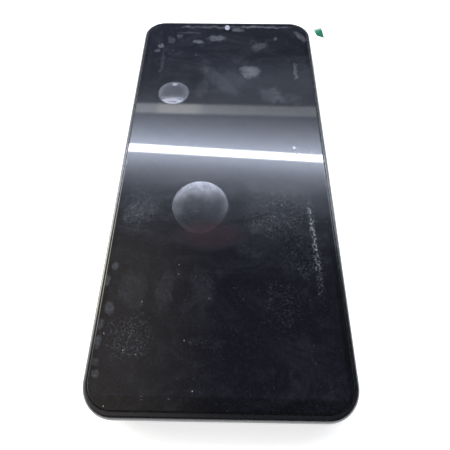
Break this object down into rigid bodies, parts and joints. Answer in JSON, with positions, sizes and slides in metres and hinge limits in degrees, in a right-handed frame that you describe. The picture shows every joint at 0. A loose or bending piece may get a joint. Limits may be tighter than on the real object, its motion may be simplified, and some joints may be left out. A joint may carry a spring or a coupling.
{
  "type": "smartphone",
  "caption": "Slab-shaped touchscreen phone with a rounded black frame, film-covered glass front, rear camera island, side keys and a card tray that slides out.",
  "frame": {"origin": "centre of the back cover's flat outer face", "axes": "+Y towards the earpiece end, +Z out of the screen, +X to the right of someone facing the screen"},
  "size_m": [0.0838, 0.1644, 0.0109],
  "materials": {
    "clear_film": "clear gloss film",
    "green_print": "printed green",
    "black_glass": "polished black glass",
    "black_frame": "gloss black",
    "black_cover": "satin black",
    "black_foam": "adhesive foam",
    "dark_panel": "dark panel",
    "white_panel": "white film stack",
    "steel": "pressed steel",
    "dark_alloy": "die-cast alloy",
    "board": "green circuit board",
    "chip": "moulded black",
    "flex": "amber flexible circuit",
    "graphite": "graphite sheet",
    "battery_wrap": "foil pouch with a black wrap",
    "lens": "coated lens",
    "led": "phosphor",
    "black_plastic": "moulded black",
    "brass": "plated",
    "seal": "matt"
  },
  "bodies": {
    "phone_body": {"protective_film": "clear_film", "pull_tab_print": "green_print", "cover_glass": "black_glass", "display_adhesive": "black_foam", "lcd_panel": "dark_panel", "backlight_unit": "white_panel", "display_flex": "flex", "graphite_sheet": "graphite", "earpiece_mesh": "steel", "earpiece_receiver": "black_plastic", "front_camera": "lens", "side_frame": "black_frame", "mid_plate": "dark_alloy", "back_adhesive": "black_foam", "back_cover": "black_cover", "camera_surround": "black_frame", "camera_window": "black_glass", "main_board": "board", "processor_chip": "chip", "processor_shield": "steel", "radio_shield": "steel", "upper_bracket": "black_plastic", "sim_reader": "steel", "main_camera_housing": "dark_alloy", "wide_camera": "lens", "macro_camera": "lens", "flash_led": "led", "battery": "battery_wrap", "battery_adhesive": "black_foam", "battery_flex": "flex", "board_link_flex": "flex", "antenna_coax": "chip", "vibration_motor_can": "steel", "sub_board": "board", "lower_bracket": "black_plastic", "usb_port_shell": "steel", "usb_port_tongue": "chip", "headphone_jack": "black_plastic", "bottom_microphone": "brass", "loudspeaker_box": "black_plastic", "loudspeaker_mesh": "steel", "side_key_flex": "flex", "side_key_bracket": "steel", "upper_bracket_screw_1": "steel", "upper_bracket_screw_2": "steel", "upper_bracket_screw_3": "steel", "upper_bracket_screw_4": "steel", "upper_bracket_screw_5": "steel", "lower_bracket_screw_1": "steel", "lower_bracket_screw_2": "steel", "loudspeaker_screw_1": "steel", "loudspeaker_screw_2": "steel"},
    "power_key": {"power_key": "black_frame"},
    "volume_key": {"volume_key": "black_frame"},
    "card_tray": {"sim_tray": "black_frame", "sim_tray_seal": "seal"},
    "eject_rod": {"sim_eject_rod": "steel"},
    "eject_lever": {"sim_eject_lever": "steel"},
    "motor_rotor": {"vibration_motor_rotor": "brass"},
    "focus_barrel": {"main_camera_barrel": "lens"}
  },
  "joints": [
    {"name": "power_key_press", "type": "slide", "parent": "phone_body", "child": "power_key", "axis": [-1, 0, 0], "range_m": [0, 0.0003], "stiffness_N_per_m": 2000},
    {"name": "volume_key_rock", "type": "hinge", "parent": "phone_body", "child": "volume_key", "pos_m": [0.03665, 0.039, 0.0041], "axis": [0, 0, 1], "range_deg": [-1.2, 1.2], "stiffness_Nm_per_rad": 0.86},
    {"name": "sim_tray_slide", "type": "slide", "parent": "phone_body", "child": "card_tray", "axis": [-1, 0, 0], "range_m": [0, 0.036]},
    {"name": "sim_eject_rod_push", "type": "slide", "parent": "phone_body", "child": "eject_rod", "axis": [1, 0, 0], "range_m": [0, 0.002]},
    {"name": "sim_eject_lever_swing", "type": "hinge", "parent": "phone_body", "child": "eject_lever", "pos_m": [-0.0072, 0.0606, 0.00385], "axis": [0, 0, 1], "range_deg": [0, 26]},
    {"name": "motor_rotor_spin", "type": "hinge", "parent": "phone_body", "child": "motor_rotor", "pos_m": [-0.022, -0.0553, 0.0034], "axis": [1, 0, 0], "continuous": true},
    {"name": "autofocus_travel", "type": "slide", "parent": "phone_body", "child": "focus_barrel", "axis": [0, 0, -1], "range_m": [0, 0.0003], "stiffness_N_per_m": 100}
  ],
  "couplings": [
    {"joint": "sim_eject_lever_swing", "follows": "sim_eject_rod_push", "rad_per_m": 225}
  ]
}
